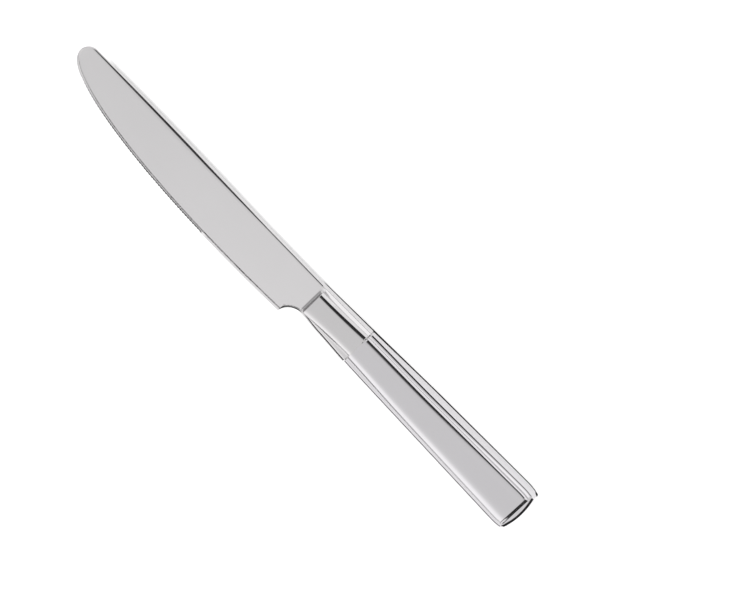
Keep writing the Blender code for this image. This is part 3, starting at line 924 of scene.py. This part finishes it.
def handle_shade(x, y, sizes):
    """Light left on the floor round the handle: a soft shade, and a dark line along its spine side."""
    front = TIP - sizes.blade_length
    half = ranged(x, BUTT, front, SHELL_HIGH.y, sizes.shoulder_width / 2.0)
    inset = ranged(x, WAIST - sizes.swell_length, front, *SHADE_INSET)
    half = calc(half, inset, "SUBTRACT")
    drawn = ranged(x, BUTT + CORNER_LENGTH, BUTT, 0.0, math.sqrt(CORNER_DRAW))
    half = calc(half, calc(drawn, 2.0, "POWER"), "SUBTRACT")
    beside = calc(calc(y, 0.0, "ABSOLUTE"), half, "SUBTRACT")
    bulge = calc(y, math.sqrt(BUTT_BULGE) / SHELL_HIGH.y, "MULTIPLY")
    bulge = calc(calc(bulge, 2.0, "POWER"), BUTT - SHADE_MARGIN)
    behind = calc(bulge, x, "SUBTRACT")
    soft = ranged(calc(beside, behind, "MAXIMUM"), *SOFT_SHADE)
    away = calc(calc(beside, LINE_PLACE), 0.0, "ABSOLUTE")
    line = ranged(away, *LINE_SHADE)
    line = at_least(line, y, -LINE_FADE, LINE_FADE)
    line = at_least(line, behind, -SHADE_MARGIN, 0.0)
    lit = calc(soft, line, "MINIMUM")
    return at_least(lit, x, front, front + SHOULDER_FADE)


def blade_shade(x, y, sizes):
    """Light left on the floor under the blade's spine."""
    front = TIP - sizes.blade_length
    bow = calc(ranged(x, TIP - BOW_LENGTH, TIP, math.pi, 0.0), 0.0, "SINE")
    spine = calc(y, calc(bow, SPINE_BOW, "MULTIPLY"))
    spine = calc(spine, sizes.shoulder_width / 2.0)
    lit = ranged(spine, *BLADE_SHADE)
    lit = at_least(lit, x, front, front + BLADE_START, 1.0, 0.0)
    lit = at_least(lit, y, -BLADE_SIDE, 0.0)
    return at_least(lit, x, TIP - TIP_FADE[0], TIP - TIP_FADE[1])


def light_table(name, tint, glow, sizes):
    """Floor that gives off light, with the knife's shade on it."""
    material, tree, surface, place = blank_material(name)
    x, y = add_node(tree, "SeparateXYZ", {"Vector": place}).outputs[:2]
    lit = calc(handle_shade(x, y, sizes), blade_shade(x, y, sizes), "MINIMUM")
    shade_surface(tree, surface, {
        "Base Color": blend(lit, BLACK, (*tint, 1.0)),
        "Roughness": FLOOR_ROUGHNESS,
        "Specular IOR Level": 0.0,
        "Emission Color": WHITE,
        "Emission Strength": calc(lit, glow, "MULTIPLY"),
    })
    return material


class KNIFE_OT_forging(bpy.types.Operator):
    """Make the blade, bolster and tang as one forging"""

    bl_idname = "knife.forging"
    bl_label = "Blade, bolster and tang"

    def execute(self, context):
        sizes = context.scene.knife_sizes
        finish = context.scene.knife_finish
        x, section, polish, painted_shade = forging_rows(sizes)
        # The second mark carries the painted shade of the heel's chamfer
        marks = {"polish": polish, "painted_shade": painted_shade}
        marks = {name: np.concatenate([mark, mark[:, -2:0:-1]], axis=1) for name, mark in marks.items()}
        points = stand(x[:, None], whole(section))
        quads, caps = tube(points)
        material = steel("blade_steel", finish.blade_colour, finish.blade_roughness, BLADE_BRUSHING, True)
        add_piece("forged_blade", points, quads, caps, ("blade",), material, marks)
        return {"FINISHED"}


class KNIFE_OT_handle(bpy.types.Operator):
    """Make the two stamped halves of the handle"""

    bl_idname = "knife.handle"
    bl_label = "Handle halves"

    def execute(self, context):
        finish = context.scene.knife_finish
        outer, inner = shell_rows(context.scene.knife_sizes)
        rows, columns = outer.shape[:2]
        count = rows * columns
        index = np.arange(count).reshape(rows, columns)
        loop = np.concatenate([index[0], index[1:, -1], index[-1, -2::-1], index[-2:0:-1, 0]])
        ahead = np.roll(loop, -1)
        rim = np.stack([ahead, loop, loop + count, ahead + count], axis=-1)
        faces = skin(rows, columns, False)
        quads = np.concatenate([faces, faces[:, ::-1] + count, rim])
        points = np.concatenate([outer.reshape(-1, 3), inner.reshape(-1, 3)])
        mirrored = points * (1.0, 1.0, -1.0) + (0.0, 0.0, 2.0 * MIDDLE)
        material = steel("handle_steel", finish.handle_colour, finish.handle_roughness, HANDLE_BRUSHING)
        add_piece("upper_half", points, quads, (), ("handle_front_shell",), material)
        add_piece("lower_half", mirrored, quads, (), ("handle_back_shell",), material)
        return {"FINISHED"}


class KNIFE_OT_braze(bpy.types.Operator):
    """Make the brazed lines round the handle's seam and at its mouth"""

    bl_idname = "knife.braze"
    bl_label = "Brazed lines"

    def execute(self, context):
        sizes = context.scene.knife_sizes
        finish = context.scene.knife_finish
        material = steel("braze", finish.braze_colour, BRAZE_ROUGHNESS, BRAZE_BRUSHING)

        # Seam: a thin strip carried along the shell's border, a hair below the surface in its middle
        up = np.array([0.0, 0.0, SEAM])
        outside, inside = [rim_of(grid) - up for grid in shell_rows(sizes)]
        strip = [outside + up, mix(outside, inside, SEAM_DIP), outside - up, inside - up, inside + up]
        points = np.stack(strip, axis=1)
        quads, caps = tube(points)
        add_piece("seam_line", points, quads, caps, ("seam_braze",), material)

        # Mouth: a flat ring between bolster and handle
        place = np.array([MOUTH])
        outline = sink(handle_section(place, sizes, 0.0), np.array([LINE_SINK]))[0]
        hole = handle_section(place, sizes, 0.0, True)[0]
        loops = whole(np.stack([outline, outline, hole, hole, outline]))
        ends = np.array([MOUTH, BOLSTER_REAR, BOLSTER_REAR, MOUTH, MOUTH])
        points = stand(ends[:, None], loops)
        rows, columns = points.shape[:2]
        quads = skin(rows, columns, True) % ((rows - 1) * columns)
        add_piece("mouth_line", points[:-1], quads, (), ("bolster_braze",), material)
        return {"FINISHED"}


class KNIFE_OT_cement(bpy.types.Operator):
    """Give the handle's filling its material"""

    bl_idname = "knife.cement"
    bl_label = "Cement"

    def execute(self, context):
        material = cement("cement", context.scene.knife_finish.cement_colour)
        for place in bpy.data.objects["handle_cement"].material_slots:
            place.material = material
        return {"FINISHED"}


class KNIFE_OT_studio(bpy.types.Operator):
    """Make the floor, the light and the camera"""

    bl_idname = "knife.studio"
    bl_label = "Studio"

    def execute(self, context):
        studio = context.scene.knife_studio
        floor_mesh = bpy.data.meshes.new("floor")
        signs = ((-1, -1), (1, -1), (1, 1), (-1, 1))
        corners = [(x * FLOOR_REACH, y * FLOOR_REACH, 0.0) for x, y in signs]
        floor_mesh.from_pydata(corners, [], [range(4)])
        floor = bpy.data.objects.new("floor", floor_mesh)
        context.scene.collection.objects.link(floor)
        sizes = context.scene.knife_sizes
        floor_mesh.materials.append(light_table("floor", studio.floor_colour, studio.floor_glow, sizes))
        self.light(context, studio.light_strength)
        camera = self.camera(context, studio.lens)
        context.scene.view_settings.view_transform = "Standard"
        return {"FINISHED"}

    def light(self, context, strength):
        """Studio surround whose brightness goes by the angle round the knife, darker towards both ends."""
        world = bpy.data.worlds.new("studio")
        context.scene.world = world
        world.use_nodes = True
        tree = world.node_tree
        tree.nodes.clear()
        aim = add_node(tree, "TexCoord").outputs["Generated"]
        x, y, z = add_node(tree, "SeparateXYZ", {"Vector": aim}).outputs

        # Levels by the angle, plain white towards both ends
        angle = calc(y, z, "ARCTAN2")
        share = calc(calc(angle, 0.5 / math.pi, "MULTIPLY"), 0.5)
        ramp = add_node(tree, "ValToRGB", {"Fac": share})
        elements = ramp.color_ramp.elements
        for element in elements:
            element.color = WHITE
        for degrees, level in LIGHT_STOPS:
            stop = elements.new(degrees / 360.0 + 0.5)
            stop.color = (level, level, level, 1.0)
        white = ranged(calc(x, 0.0, "ABSOLUTE"), *STOPS_REACH)
        sockets = {"Factor": white, "A": ramp.outputs["Color"], "B": 1.0}
        level = add_node(tree, "Mix", sockets, data_type="FLOAT").outputs["Result"]

        # Darker patches towards both ends
        beside = calc(calc(y, PATCH_PLACE, "SUBTRACT"), 0.0, "ABSOLUTE")
        tip_end = at_least(ranged(x, *TIP_PATCH), beside, *TIP_PATCH_SIDE)
        butt_end = at_least(ranged(x, *BUTT_PATCH), beside, *BUTT_PATCH_SIDE)
        butt_end = at_least(butt_end, z, *BUTT_PATCH_TOP)
        level = calc(level, calc(tip_end, butt_end, "MULTIPLY"), "MULTIPLY")
        glow = add_node(tree, "Background", {"Color": level, "Strength": strength})
        output = add_node(tree, "OutputWorld")
        tree.links.new(glow.outputs["Background"], output.inputs["Surface"])

    def camera(self, context, lens):
        """Camera over the spine side, rolled so that the knife lies across the picture."""
        toward = Vector((0.0, -math.cos(VIEW_ELEVATION), math.sin(VIEW_ELEVATION)))
        up = Vector((0.0, math.sin(VIEW_ELEVATION), math.cos(VIEW_ELEVATION)))
        side = Vector((1.0, 0.0, 0.0))
        right = side * math.cos(VIEW_ROLL) - up * math.sin(VIEW_ROLL)
        above = side * math.sin(VIEW_ROLL) + up * math.cos(VIEW_ROLL)
        data = bpy.data.cameras.new("camera")
        data.lens = lens
        data.clip_start = CLIP_START
        camera = bpy.data.objects.new("camera", data)
        matrix = Matrix((right, above, toward)).transposed().to_4x4()
        matrix.translation = VIEW_TARGET + toward * (VIEW_WIDTH * lens / data.sensor_width)
        camera.matrix_world = matrix
        context.scene.collection.objects.link(camera)
        context.scene.camera = camera
        return camera


class KNIFE_PT_panel(bpy.types.Panel):
    """Sizes, finishes and the steps that make the knife"""

    bl_idname = "KNIFE_PT_panel"
    bl_label = "Dessert knife"
    bl_space_type = "VIEW_3D"
    bl_region_type = "UI"
    bl_category = "Knife"

    def draw(self, context):
        for name, group in GROUPS:
            box = self.layout.box()
            for setting in group.__annotations__:
                box.prop(getattr(context.scene, name), setting)
        for step in STEPS:
            self.layout.operator(step.bl_idname)


GROUPS = (("knife_sizes", KnifeSizes), ("knife_finish", KnifeFinish), ("knife_studio", KnifeStudio))
STEPS = (KNIFE_OT_forging, KNIFE_OT_handle, KNIFE_OT_braze, KNIFE_OT_cement, KNIFE_OT_studio)


def register():
    """Register the classes and hang the settings on the scene."""
    for name, group in GROUPS:
        bpy.utils.register_class(group)
        setattr(bpy.types.Scene, name, PointerProperty(type=group))
    for made in (*STEPS, KNIFE_PT_panel):
        bpy.utils.register_class(made)


def unregister():
    """Take everything back in the opposite order."""
    for made in (KNIFE_PT_panel, *reversed(STEPS)):
        bpy.utils.unregister_class(made)
    for name, group in reversed(GROUPS):
        delattr(bpy.types.Scene, name)
        bpy.utils.unregister_class(group)


def main():
    """Make the knife and its studio."""
    register()
    bpy.ops.knife.forging()
    bpy.ops.knife.handle()
    bpy.ops.knife.braze()
    bpy.ops.knife.cement()
    bpy.ops.knife.studio()


if __name__ == "__main__":
    main()
